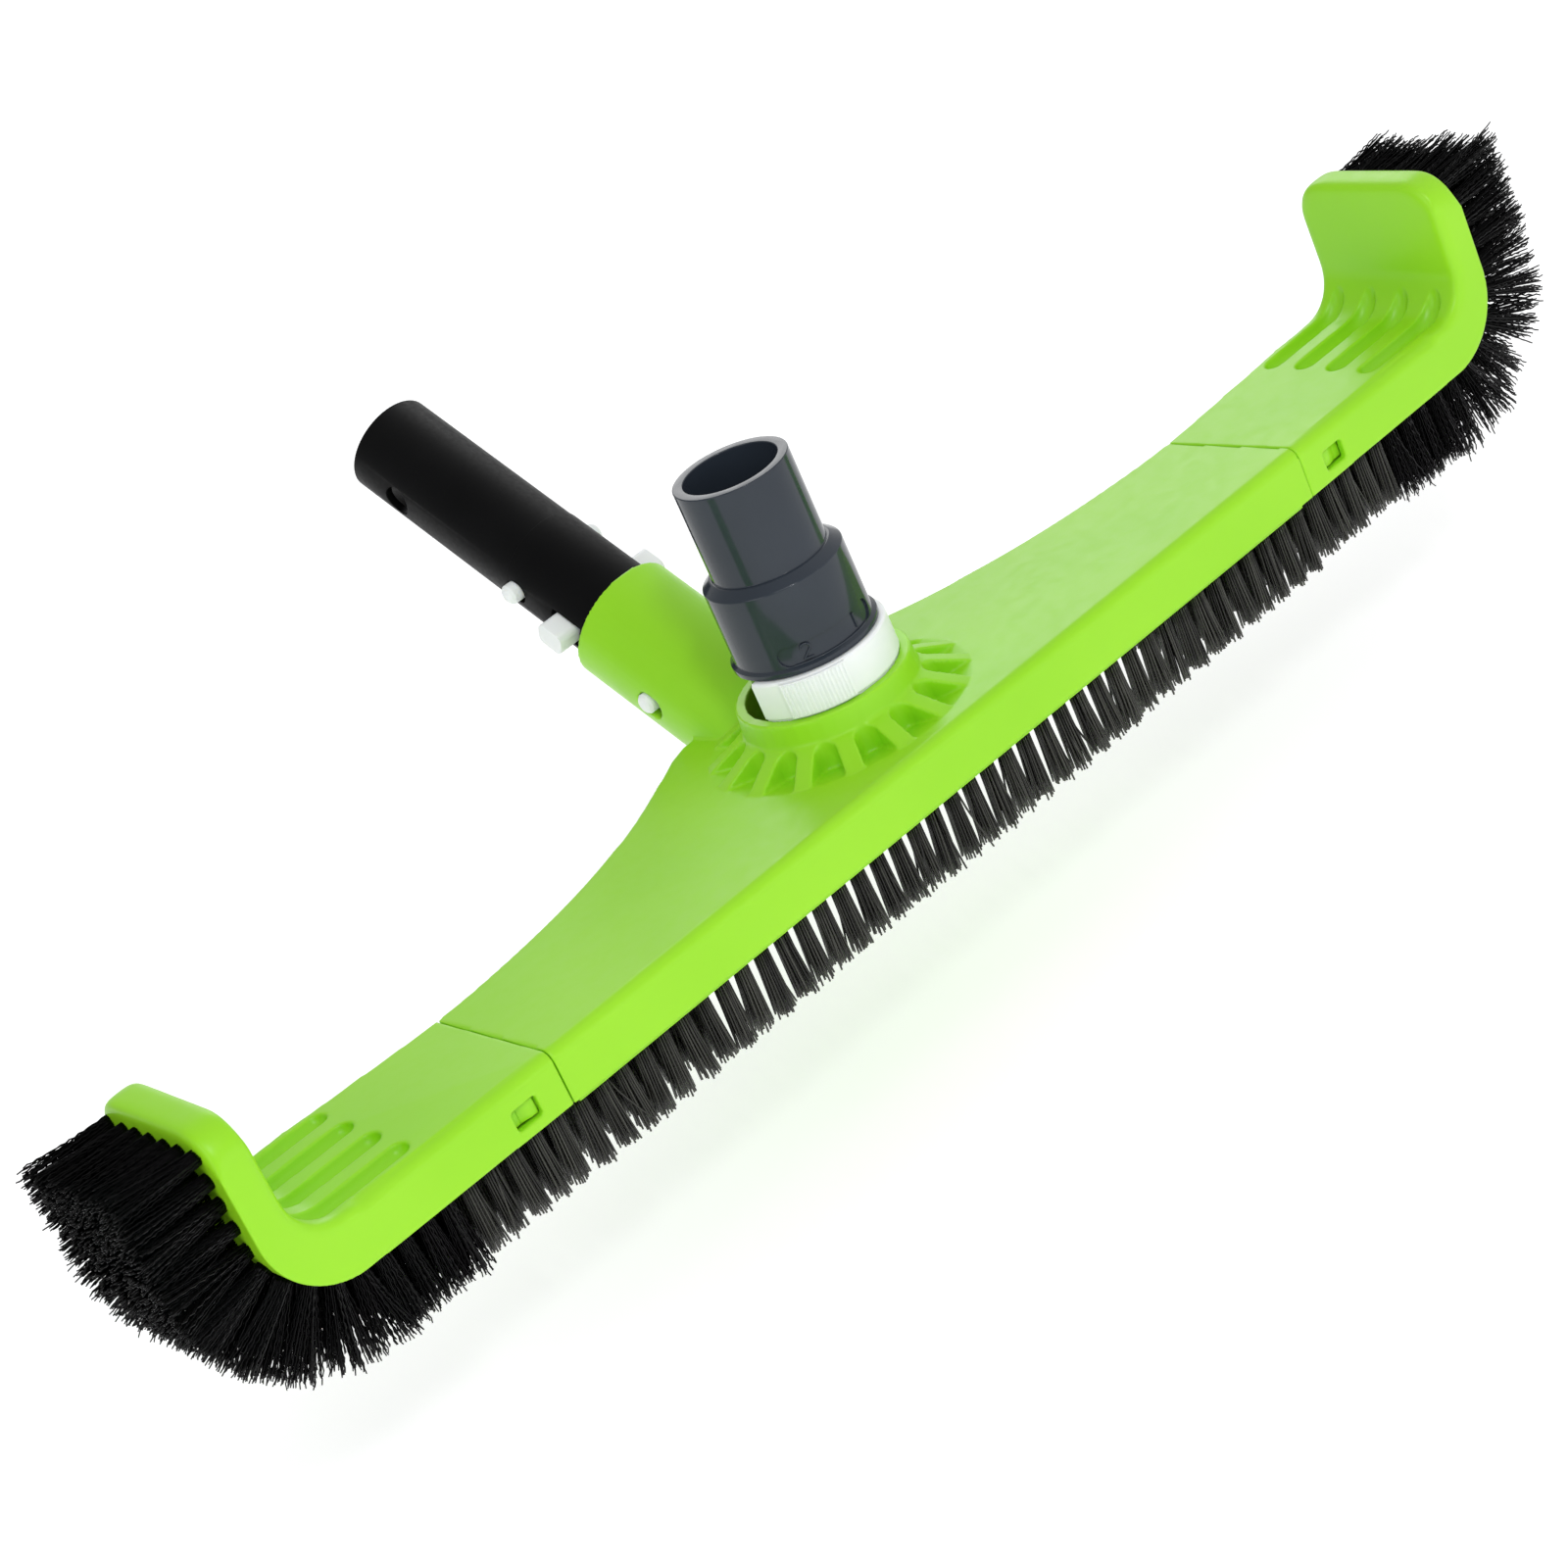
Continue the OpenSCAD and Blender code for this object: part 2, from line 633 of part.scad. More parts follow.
module left_end_grey_tufts() { place() color(charcoal) flipped() grey_end(); }
module right_end_flat_black_tufts() { place() color(black) black_flat(); }
module left_end_flat_black_tufts() { place() color(black) flipped() black_flat(); }
module right_end_bend_black_tufts() { place() color(black) black_bend(); }
module left_end_bend_black_tufts() { place() color(black) flipped() black_bend(); }
module right_end_upright_black_tufts() { place() color(black) black_upright(); }
module left_end_upright_black_tufts() { place() color(black) flipped() black_upright(); }

// ---------------------------------------------------------------- anchors
// flat wire anchors driven across the tuft holes
centre_anchor = 2.6;
end_anchor = 1.8;
module anchor(len) { translate([-1.6, -0.25, 0.4]) cube([3.2, 0.5, len]); }
module centre_tuft_anchors() {
  left_roots = [for (root = side_roots) [-root[0], root[1]]];
  place() color(steel) translate([0, 0, rail_z])
    at_roots(concat(front_roots, rear_roots, left_roots, side_roots)) anchor(centre_anchor);
}
module end_anchors() {
  on_flat(concat(grey_x, black_x)) anchor(end_anchor);
  on_bend() anchor(end_anchor);
  on_upright() anchor(end_anchor);
}
module right_tuft_anchors() { place() color(steel) end_anchors(); }
module left_tuft_anchors() { place() color(steel) flipped() end_anchors(); }

centre_housing();
left_end_piece();
right_end_piece();
left_latch_tongue();
right_latch_tongue();
hose_adapter();
lock_ring();
adapter_seal();
pole_tube();
pole_clip_bow();
pole_clip_left_leg();
pole_clip_right_leg();
socket_clip_bow();
socket_clip_left_leg();
socket_clip_right_leg();
centre_front_tufts();
centre_rear_tufts();
centre_left_tufts();
centre_right_tufts();
left_end_grey_tufts();
right_end_grey_tufts();
left_end_flat_black_tufts();
left_end_bend_black_tufts();
left_end_upright_black_tufts();
right_end_flat_black_tufts();
right_end_bend_black_tufts();
right_end_upright_black_tufts();
centre_tuft_anchors();
left_tuft_anchors();
right_tuft_anchors();
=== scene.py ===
"""A wide brush head: a green centre housing with an upturned end piece on each side,
a hose adapter and a pole tube on top, and tufts of grey and black filament below.

The head runs along x, left is -x, front is -y and up is +z. The frame's origin sits on the
hose port. Design heights count from the lower edge of the end pieces, at BASE_Z. CAD shapes
are in metres. Marks and filaments are laid out in mm, and add_mesh brings them to metres.
"""
import json
import math
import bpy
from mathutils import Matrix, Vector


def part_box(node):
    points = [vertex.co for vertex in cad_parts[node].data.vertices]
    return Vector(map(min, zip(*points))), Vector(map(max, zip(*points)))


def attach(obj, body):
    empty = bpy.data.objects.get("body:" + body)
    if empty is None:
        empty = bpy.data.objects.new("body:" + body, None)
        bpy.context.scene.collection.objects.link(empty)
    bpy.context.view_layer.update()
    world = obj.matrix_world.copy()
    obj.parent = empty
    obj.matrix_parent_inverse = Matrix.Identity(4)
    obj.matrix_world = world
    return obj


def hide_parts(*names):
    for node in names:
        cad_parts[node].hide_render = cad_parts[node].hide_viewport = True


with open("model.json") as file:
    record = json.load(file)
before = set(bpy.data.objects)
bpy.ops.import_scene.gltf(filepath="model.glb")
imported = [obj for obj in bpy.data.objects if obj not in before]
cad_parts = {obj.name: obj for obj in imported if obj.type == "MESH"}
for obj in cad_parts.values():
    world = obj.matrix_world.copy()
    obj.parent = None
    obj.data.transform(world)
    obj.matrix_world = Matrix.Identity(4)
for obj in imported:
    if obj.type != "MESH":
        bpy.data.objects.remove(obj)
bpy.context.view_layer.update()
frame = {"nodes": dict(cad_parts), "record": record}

from types import SimpleNamespace

import bmesh
import bpy
import numpy as np
from mathutils import Matrix, Vector

MM = 0.001
nodes = frame["nodes"]

BASE_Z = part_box("left_end_piece")[0].z
FRONT_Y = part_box("centre_housing")[0].y
HALF_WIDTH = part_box("right_end_piece")[1].x
SIDES = (("left", -1), ("right", 1))


# ------------------------------------------------------------------ material helpers
class Shader:
    """A Principled material with its textures laid in object space."""

    def __init__(self, name):
        self.material = bpy.data.materials.new(name)
        self.material.use_nodes = True
        self.tree = self.material.node_tree
        self.principled = self.tree.nodes["Principled BSDF"]
        self.coords = self.node("ShaderNodeTexCoord").outputs["Object"]

    def fill(self, node, inputs):
        """Link each input to a socket, or set it to a value."""
        for key, value in inputs.items():
            if isinstance(value, bpy.types.NodeSocket):
                self.tree.links.new(value, node.inputs[key])
            else:
                node.inputs[key].default_value = value

    def node(self, kind, inputs=None, **settings):
        node = self.tree.nodes.new(kind)
        for key, value in settings.items():
            setattr(node, key, value)
        self.fill(node, inputs or {})
        return node

    def set(self, inputs):
        self.fill(self.principled, inputs)

    def noise(self, scale, detail=3.0, roughness=0.5):
        inputs = {
            "Scale": scale, "Detail": detail, "Roughness": roughness, "Vector": self.coords
        }
        return self.node("ShaderNodeTexNoise", inputs).outputs["Fac"]

    def attribute(self, name):
        return self.node("ShaderNodeAttribute", attribute_name=name).outputs["Fac"]

    def ramp(self, factor, dark, light, stops=(0.3, 0.7)):
        node = self.node("ShaderNodeValToRGB", {"Fac": factor})
        for element, stop, colour in zip(node.color_ramp.elements, stops, (dark, light)):
            element.position = stop
            element.color = (*colour, 1)
        return node.outputs["Color"]

    def spread(self, value, low, high, source=(0.3, 0.7)):
        """Map the source range onto low to high."""
        inputs = {
            "From Min": source[0], "From Max": source[1],
            "To Min": low, "To Max": high, "Value": value,
        }
        return self.node("ShaderNodeMapRange", inputs).outputs["Result"]

    def tint(self, factor, dark, light, stops=(0.3, 0.7)):
        self.set({"Base Color": self.ramp(factor, dark, light, stops)})

    def roughen(self, value, low, high):
        self.set({"Roughness": self.spread(value, low, high)})

    def bump(self, height, strength, distance):
        inputs = {"Strength": strength, "Distance": distance, "Height": height}
        self.set({"Normal": self.node("ShaderNodeBump", inputs).outputs["Normal"]})


# ------------------------------------------------------------------ materials
def lime_plastic():
    """Satin moulded plastic: faint flow marks, fine mould grain, slight scatter."""
    shader = Shader("lime_moulding")
    flow = shader.noise(scale=18, detail=2.0, roughness=0.4)
    shader.tint(flow, dark=(0.295, 0.690, 0.012), light=(0.326, 0.728, 0.018))
    shader.roughen(shader.noise(scale=240, detail=4.0, roughness=0.6), low=0.30, high=0.40)
    shader.set({
        "Specular IOR Level": 0.38,
        "Subsurface Weight": 0.12,
        "Subsurface Radius": (0.6, 1.0, 0.15),
        "Subsurface Scale": 0.0025,
        "IOR": 1.47,
    })
    fine = shader.noise(scale=1900, detail=2.0)
    broad = shader.node("ShaderNodeMath", {0: flow, 1: 0.6}, operation="MULTIPLY").outputs[0]
    grain = shader.node("ShaderNodeMath", {0: fine, 1: broad}, operation="ADD").outputs[0]
    shader.bump(grain, strength=0.10, distance=0.00008)
    return shader.material


def slate_plastic():
    """Glossy dark moulding with a slow ripple."""
    shader = Shader("slate_moulding")
    drift = shader.noise(scale=30, detail=2.0)
    shader.tint(drift, dark=(0.022, 0.029, 0.040), light=(0.028, 0.036, 0.049))
    shader.roughen(shader.noise(scale=350, roughness=0.6), low=0.10, high=0.17)
    shader.set({"IOR": 1.5, "Specular IOR Level": 0.33})
    shader.bump(shader.noise(scale=260, detail=2.0), strength=0.08, distance=0.0002)
    return shader.material


def natural_nylon():
    """Cloudy off-white moulding with soft scatter."""
    shader = Shader("natural_nylon_moulding")
    shader.tint(shader.noise(scale=90), dark=(0.86, 0.89, 0.885), light=(0.90, 0.925, 0.92))
    shader.roughen(shader.noise(scale=500), low=0.34, high=0.46)
    shader.set({
        "Subsurface Weight": 0.35,
        "Subsurface Radius": (1.0, 0.95, 0.85),
        "Subsurface Scale": 0.0018,
    })
    shader.bump(shader.noise(scale=1500, detail=2.0), strength=0.10, distance=0.0001)
    return shader.material


def black_tube():
    """Satin black with a very fine grain."""
    shader = Shader("satin_black_tube")
    shader.tint(
        shader.noise(scale=60), dark=(0.0016, 0.0016, 0.0018), light=(0.0028, 0.0028, 0.0030)
    )
    shader.roughen(shader.noise(scale=700, detail=4.0, roughness=0.6), low=0.40, high=0.52)
    shader.set({"Specular IOR Level": 0.08})
    shader.bump(shader.noise(scale=2600, detail=2.0), strength=0.14, distance=0.0001)
    return shader.material


def seal_rubber():
    shader = Shader("seal_rubber_matt")
    shader.tint(
        shader.noise(scale=200), dark=(0.012, 0.012, 0.012), light=(0.022, 0.022, 0.022)
    )
    shader.roughen(shader.noise(scale=900), low=0.6, high=0.75)
    return shader.material


def anchor_wire():
    shader = Shader("drawn_wire_steel")
    shader.set({"Metallic": 1.0})
    shader.tint(shader.noise(scale=300), dark=(0.52, 0.53, 0.55), light=(0.66, 0.67, 0.69))
    shader.roughen(shader.noise(scale=1200), low=0.22, high=0.38)
    return shader.material


def filament(name, dark, light, tip, roughness, specular):
    """Nylon filament. The mesh's fil value gives each filament its shade, partly random tone
    and partly painted light: lighter filaments are painted highlight streaks and the darkest
    painted shade between filaments. Its along value gives a paler cut tip."""
    shader = Shader(name)
    # Each filament's shade is partly random tone, partly painted highlight streaks and painted
    # shade between filaments.
    shade = shader.attribute("fil")
    along = shader.attribute("along")
    inputs = {
        "Factor": shader.spread(along, low=0.0, high=0.55, source=(0.93, 1.0)),
        "A": shader.ramp(shade, dark, light, stops=(0.0, 1.0)),
        "B": (*tip, 1),
    }
    mix = shader.node("ShaderNodeMix", inputs, data_type="RGBA")
    shader.set({"Base Color": mix.outputs["Result"], "Specular IOR Level": specular})
    shader.roughen(shader.noise(scale=900, detail=2.0), *roughness)
    shader.bump(shader.noise(scale=3000, detail=1.0), strength=0.03, distance=0.00005)
    return shader.material


MATERIALS = {
    "lime_plastic": lime_plastic(),
    "slate_plastic": slate_plastic(),
    "natural_nylon": natural_nylon(),
    "black_tube": black_tube(),
    "seal_rubber": seal_rubber(),
    "anchor_wire": anchor_wire(),
    # The charcoal filaments' wide dark-to-light spread is partly painted: painted highlight
    # streaks on the lighter filaments, painted shade on the darkest.
    "grey_bristle": filament(
        "charcoal_filament",
        dark=(0.003, 0.003, 0.002), light=(0.048, 0.048, 0.040), tip=(0.07, 0.067, 0.057),
        roughness=(0.20, 0.30), specular=0.34,
    ),
    "black_bristle": filament(
        "black_crimped_filament",
        dark=(0.0006, 0.0006, 0.0007), light=(0.0022, 0.0022, 0.0026),
        tip=(0.004, 0.004, 0.004), roughness=(0.09, 0.14), specular=0.13,
    ),
}


# ------------------------------------------------------------------ mesh helpers
def link_object(name, data):
    ob = bpy.data.objects.new(name, data)
    bpy.context.scene.collection.objects.link(ob)
    return ob


def shade_smooth(mesh):
    mesh.polygons.foreach_set("use_smooth", np.full(len(mesh.polygons), True))


def body_of(node):
    for body, members in frame["record"]["behaviour"]["bodies"].items():
        if node in members:
            return body
    raise KeyError(node)


def add_mesh(name, points, faces, body, slot, attributes=None):
    """A smooth mesh object from points in mm, with heights counted from BASE_Z.
    faces is a list of (n, k) index arrays, one for each polygon size."""
    verts = points * MM
    verts[:, 2] += BASE_Z
    mesh = bpy.data.meshes.new(name)
    loops = np.concatenate([f.ravel() for f in faces])
    totals = np.concatenate([np.full(len(f), f.shape[1]) for f in faces])
    starts = np.concatenate([[0], np.cumsum(totals)[:-1]])
    mesh.vertices.add(len(verts))
    mesh.vertices.foreach_set("co", verts.astype(np.float32).ravel())
    mesh.loops.add(len(loops))
    mesh.loops.foreach_set("vertex_index", loops.astype(np.int32))
    mesh.polygons.add(len(totals))
    mesh.polygons.foreach_set("loop_start", starts.astype(np.int32))
    mesh.polygons.foreach_set("loop_total", totals.astype(np.int32))
    mesh.update(calc_edges=True)
    mesh.validate()
    for key, values in (attributes or {}).items():
        layer = mesh.attributes.new(key, "FLOAT", "POINT")
        layer.data.foreach_set("value", np.asarray(values, np.float32))
    shade_smooth(mesh)
    ob = link_object(name, mesh)
    mesh.materials.append(MATERIALS[slot])
    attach(ob, body)
    return ob


def skin(rings):
    """Quads joining each ring of vertex indices to the next. rings is (..., ring, corner)."""
    near, far = rings[..., :-1, :], rings[..., 1:, :]
    quads = [near, np.roll(near, -1, axis=-1), np.roll(far, -1, axis=-1), far]
    return np.stack(quads, -1).reshape(-1, 4)


def copy_of(node):
    """A welded copy of a CAD node's mesh, as a new object without stored shading."""
    mesh = nodes[node].data.copy()
    mesh.name = node + "_form"
    bm = bmesh.new()
    bm.from_mesh(mesh)
    bmesh.ops.remove_doubles(bm, verts=bm.verts, dist=2e-7)
    bmesh.ops.dissolve_degenerate(bm, edges=bm.edges, dist=1e-7)
    bm.to_mesh(mesh)
    bm.free()
    for key in ("custom_normal", "sharp_edge", "sharp_face"):
        if key in mesh.attributes:
            mesh.attributes.remove(mesh.attributes[key])
    mesh.materials.clear()
    return link_object(mesh.name, mesh)


def apply_modifiers(ob):
    depsgraph = bpy.context.evaluated_depsgraph_get()
    mesh = bpy.data.meshes.new_from_object(ob.evaluated_get(depsgraph), depsgraph=depsgraph)
    ob.modifiers.clear()
    ob.data = mesh


def stand_for(ob, node, slot):
    ob.data.materials.clear()
    ob.data.materials.append(MATERIALS[slot])
    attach(ob, body_of(node))
    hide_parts(node)


def add_smoothing(ob, name, iterations):
    modifier = ob.modifiers.new(name, "SMOOTH")
    modifier.factor = 0.5
    modifier.iterations = iterations
    return modifier


def moulded(node, slot, voxel, softness=None, soft_size=0.0):
    """The CAD shape with moulded fillets: remeshed finely, then relaxed.
    softness(points) gives 0 to 1 where edges round further, over about soft_size."""
    ob = copy_of(node)
    remesh = ob.modifiers.new("remesh", "REMESH")
    remesh.mode = "VOXEL"
    remesh.voxel_size = voxel
    remesh.adaptivity = 0
    apply_modifiers(ob)
    add_smoothing(ob, "relax", 1)
    if softness is not None:
        points = np.zeros(len(ob.data.vertices) * 3, np.float32)
        ob.data.vertices.foreach_get("co", points)
        weights = np.round(np.clip(softness(points.reshape(-1, 3).astype(float)), 0, 1), 1)
        group = ob.vertex_groups.new(name="soft")
        for level in np.unique(weights):
            if level > 0:
                group.add(np.nonzero(weights == level)[0].tolist(), float(level), "REPLACE")
        # Smoothing spreads with the square root of its passes.
        passes = int(1.9 * (soft_size / voxel) ** 2)
        add_smoothing(ob, "round", passes).vertex_group = "soft"
    apply_modifiers(ob)
    ob.vertex_groups.clear()
    shade_smooth(ob.data)
    stand_for(ob, node, slot)


BEVEL_ANGLE = math.radians(32)  # edges that turn more than this are rounded


def bevelled(node, slot, width, segments=3, prepare=None):
    """The CAD shape with its sharp edges bevelled. prepare(mesh) may reshape it first."""
    ob = copy_of(node)
    if prepare is not None:
        prepare(ob.data)
    bevel = ob.modifiers.new("bevel", "BEVEL")
    bevel.width = width
    bevel.segments = segments
    bevel.limit_method = "ANGLE"
    bevel.angle_limit = BEVEL_ANGLE
    bevel.miter_outer = "MITER_ARC"
    apply_modifiers(ob)
    shade_smooth(ob.data)
    ob.data.set_sharp_from_angle(angle=math.radians(38))
    stand_for(ob, node, slot)


# ------------------------------------------------------------------ green mouldings
HOUSING_VOXEL = 0.50 * MM
END_VOXEL = 0.45 * MM
END_SOFT_SIZE = 4.6 * MM
END_REAR_Y = 8.7 * MM
EDGE_REACH = 5 * MM  # how far the soft zone reaches from an edge


def unit(values):
    return np.clip(values, 0, 1)


def end_softness(points):
    """Rounder edges on the upturned part: its front and rear edges and its top."""
    x, y, z = np.abs(points[:, 0]), points[:, 1], points[:, 2] - BASE_Z
    upturned = unit((x - 186 * MM) / (14 * MM))
    front = unit(1 - np.abs(y - FRONT_Y) / EDGE_REACH)
    rear = unit(1 - np.abs(y - END_REAR_Y) / EDGE_REACH)
    top = unit((z - 42 * MM) / (5 * MM))
    inner = unit((z - 13 * MM) / (3 * MM)) * unit((HALF_WIDTH - 2.5 * MM - x) / (2 * MM))
    return upturned * np.maximum(np.maximum(front, rear) * inner, top)


moulded("centre_housing", "lime_plastic", HOUSING_VOXEL)
for side, _ in SIDES:
    moulded(side + "_end_piece", "lime_plastic", END_VOXEL, end_softness, END_SOFT_SIZE)
    bevelled(side + "_latch_tongue", "lime_plastic", 0.25 * MM)

# ------------------------------------------------------------------ adapter, tube, clips
RIM_Z = 58 * MM  # level edges above this height get the wider rounding
RIM_ROUND = 0.75 * MM


def round_rims(mesh):
    """Round the level edges near the top of the adapter."""
    bm = bmesh.new()
    bm.from_mesh(mesh)
    flat = math.radians(0.05)
    bmesh.ops.dissolve_limit(bm, angle_limit=flat, verts=bm.verts, edges=bm.edges)

    def is_rim(edge):
        if len(edge.link_faces) != 2 or edge.calc_face_angle(0) <= BEVEL_ANGLE:
            return False
        start, end = (vert.co.z for vert in edge.verts)
        return min(start, end) - BASE_Z > RIM_Z and abs(start - end) < 0.01 * MM

    bmesh.ops.bevel(
        bm, geom=[edge for edge in bm.edges if is_rim(edge)], offset=RIM_ROUND,
        offset_type="OFFSET", segments=5, profile=0.5, affect="EDGES", clamp_overlap=True,
    )
    bm.to_mesh(mesh)
    bm.free()


bevelled("hose_adapter", "slate_plastic", 0.30 * MM, prepare=round_rims)
bevelled("lock_ring", "natural_nylon", 0.18 * MM, segments=2)
bevelled("pole_tube", "black_tube", 0.30 * MM)
for clip in ("pole_clip", "socket_clip"):
    for part in ("bow", "left_leg", "right_leg"):
        bevelled(f"{clip}_{part}", "natural_nylon", 0.45 * MM)

# These CAD pieces keep their own meshes.
for node, slot in (
    ("adapter_seal", "seal_rubber"),
    ("centre_tuft_anchors", "anchor_wire"),
    ("left_tuft_anchors", "anchor_wire"),
    ("right_tuft_anchors", "anchor_wire"),
):
    for material_slot in nodes[node].material_slots:
        material_slot.link = "OBJECT"
        material_slot.material = MATERIALS[slot]

# ------------------------------------------------------------------ digits on the adapter, mm
DIGIT_RADIUS = 18.7  # of the cylinder the digits stand on
DIGIT_Z = 43.0
STROKE_WIDTH = 0.60
STROKE_HEIGHT = 0.58
# Rounded stroke section: (across, out from the cylinder), in stroke widths and heights.
STROKE_SECTION = [
    (-0.5, -0.2), (-0.5, 0.55), (-0.3, 0.92), (0.0, 1.0), (0.3, 0.92), (0.5, 0.55), (0.5, -0.2)
]


def stroke(path, angle):
    """Rings of points, (path point, section corner, xyz), for a raised stroke.
    path is (across, up) as seen from outside."""
    heading = np.gradient(path, axis=0)
    heading /= np.linalg.norm(heading, axis=1)[:, None]
    normal = np.stack([-heading[:, 1], heading[:, 0]], 1)
    lines = []
    for across, out in STROKE_SECTION:
        line = path + normal * across * STROKE_WIDTH
        turn = angle + line[:, 0] / DIGIT_RADIUS
        radius = DIGIT_RADIUS + out * STROKE_HEIGHT
        xyz = [radius * np.cos(turn), radius * np.sin(turn), DIGIT_Z + line[:, 1]]
        lines.append(np.stack(xyz, 1))
    return np.stack(lines, 1)


def digit(name, paths, angle):
    points, quads, caps, base = [], [], [], 0
    for path in paths:
        rings = stroke(path, math.radians(angle))
        count = rings.shape[0] * rings.shape[1]
        index = base + np.arange(count).reshape(rings.shape[:2])
        points.append(rings.reshape(-1, 3))
        quads.append(skin(index))
        caps.append(np.array([index[0][::-1], index[-1]]))
        base += count
    faces = [np.vstack(quads), np.vstack(caps)]
    ob = add_mesh(name, np.vstack(points), faces, "adapter", "slate_plastic")
    bm = bmesh.new()
    bm.from_mesh(ob.data)
    bmesh.ops.recalc_face_normals(bm, faces=bm.faces)
    bm.to_mesh(ob.data)
    bm.free()
    ob.data.set_sharp_from_angle(angle=math.radians(50))


def line(start, end):
    return np.linspace(start, end, 8)


sweep = math.pi - np.linspace(0, 1, 15) * math.pi * 1.22
hook = np.stack([1.25 * np.cos(sweep), 0.95 + 1.1 * np.sin(sweep)], 1)
heel = (-1.3, -2.05)
diagonal = line(hook[-1], heel)
digit("mark_two", [np.vstack([hook, diagonal[1:]]), line(heel, (1.35, heel[1]))], angle=235.4)
digit("mark_one", [line((0.0, -2.1), (0.0, 2.1))], angle=283.4)

# ------------------------------------------------------------------ filaments, mm
# steps and sides are a filament's segments along and around.
# stray is the share of loose filaments, ragged the scatter of length, lean the shared drift
# of a tuft's tips, mix each tip's own drift, crimp and wave the height and length of a ripple.
GREY = SimpleNamespace(
    slot="grey_bristle", diameter=0.57, steps=3, sides=6,
    stray=0.06, ragged=0.55, lean=0.36, mix=0.13, crimp=0.0,
)
BLACK = SimpleNamespace(
    slot="black_bristle", diameter=0.46, steps=18, sides=3,
    stray=0.08, ragged=0.9, lean=0.40, mix=0.24, crimp=0.20, wave=2.9,
)
ROOT_DEPTH = 0.6  # how far a filament starts behind its root
TIP_TAPER = 0.9
DEPTHWISE = np.array([0.0, 1.0, 0.0])
DOWN = (0, 0, -1)

rng = np.random.default_rng(41)


def bundle(count, spacing):
    """Points packed in rings around a centre, slightly scattered."""
    points, ring = [(0.0, 0.0)], 1
    while len(points) < count:
        places = 6 * ring
        offset = rng.random() * 2 * math.pi
        for k in range(places):
            angle = offset + 2 * math.pi * k / places
            points.append((ring * spacing * math.cos(angle), ring * spacing * math.sin(angle)))
        ring += 1
    points = np.array(points[:count])
    return points + rng.normal(0, spacing * 0.10, points.shape)


def tuft(kind, root, direction, length, count, splay, pack):
    """One tuft: its paths (filament, step, xyz), its sideways axis and its shades, which are
    random and partly painted highlight and painted shade.
    splay is how far the tips spread, front to back and sideways, and pack the root spacing
    in diameters. direction is a unit vector."""
    direction = np.asarray(direction, float)
    sideways = np.cross(direction, DEPTHWISE)
    splay = np.asarray(splay, float)
    start = bundle(count, kind.diameter * pack)
    tip = (
        start * splay
        + rng.normal(0, kind.mix, start.shape) * splay
        + rng.normal(0, kind.lean, 2) * splay
    )
    loose = rng.random(count) < kind.stray
    tip[loose] += rng.normal(0, 1.35, (int(loose.sum()), 2)) * splay ** 0.5
    # Filaments that lean further reach less deep.
    loss = 0.5 * np.linalg.norm(tip - start, axis=1) ** 2 / length
    lengths = length + rng.normal(0, kind.ragged, count) - loss
    lengths = np.minimum(lengths, length + 2.2 * kind.ragged)
    steps = np.linspace(0, 1, kind.steps + 1)
    shift = start[:, None, :] + (tip - start)[:, None, :] * (steps ** 1.25)[:, None]
    along = lengths[:, None] * steps
    if kind.crimp:
        plane = rng.random(count) * 2 * math.pi
        phase = rng.random(count) * 2 * math.pi
        wave = kind.wave * rng.uniform(0.9, 1.12, count)
        ripple = kind.crimp * np.sin(2 * math.pi * along / wave[:, None] + phase[:, None])
        ripple = ripple * np.minimum(1, along / 2.0)
        shift = shift + ripple[..., None] * np.stack([np.cos(plane), np.sin(plane)], 1)[:, None]
    paths = (
        np.asarray(root)
        + direction * (along - ROOT_DEPTH * (steps == 0))[..., None]
        + shift[..., 0:1] * DEPTHWISE
        + shift[..., 1:2] * sideways
    )
    # A random shade for each filament, partly painted highlight and painted shade.
    return paths, sideways, rng.random(count)


def add_filaments(name, kind, tufts, node):
    """One mesh of tubes from many tufts, standing for a CAD node. fil holds each filament's
    shade, partly random tone and partly painted highlight and painted shade, and along runs
    from 0 at the root to 1 at the tip."""
    points, quads, caps, fil, along = [], [], [], [], []
    base = 0
    theta = (np.arange(kind.sides) * 2 * math.pi / kind.sides)[:, None]
    for paths, sideways, shades in tufts:
        count, stops = paths.shape[:2]
        ring = kind.diameter / 2 * (np.cos(theta) * DEPTHWISE + np.sin(theta) * sideways)
        size = np.ones(stops)
        size[-1] = TIP_TAPER
        points.append((paths[:, :, None, :] + ring * size[:, None, None]).reshape(-1, 3))
        total = count * stops * kind.sides
        index = base + np.arange(total).reshape(count, stops, kind.sides)
        quads.append(skin(index))
        caps += [index[:, -1], index[:, 0, ::-1]]
        fil.append(np.repeat(shades, stops * kind.sides))
        along.append(np.tile(np.repeat(np.linspace(0, 1, stops), kind.sides), count))
        base += total
    ob = add_mesh(
        name, np.vstack(points), [np.vstack(quads), np.vstack(caps)], body_of(node), kind.slot,
        {"fil": np.concatenate(fil), "along": np.concatenate(along)},
    )
    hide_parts(node)


def grey_tuft(x, y, z, length):
    count = 37
    return tuft(GREY, (x, y, z), DOWN, length, count, splay=(1.44, 1.44), pack=1.08)


# ------------------------------------------------------------------ tufts of the centre housing
ROOT_Z = -2.2
DROP = 20.6  # tips of the grey tufts, below BASE_Z
CENTRE_LENGTH = DROP + ROOT_Z
PITCH = 6.9
HALF_DEPTH = 44
FRONT_COUNT = 40
REAR_COUNT, REAR_PITCH = 23, 7.2
SIDE_START = 86  # where the side blocks begin, from the middle
SIDE_ROWS = [-HALF_DEPTH + 15 + 9.4 * i for i in range(4)]


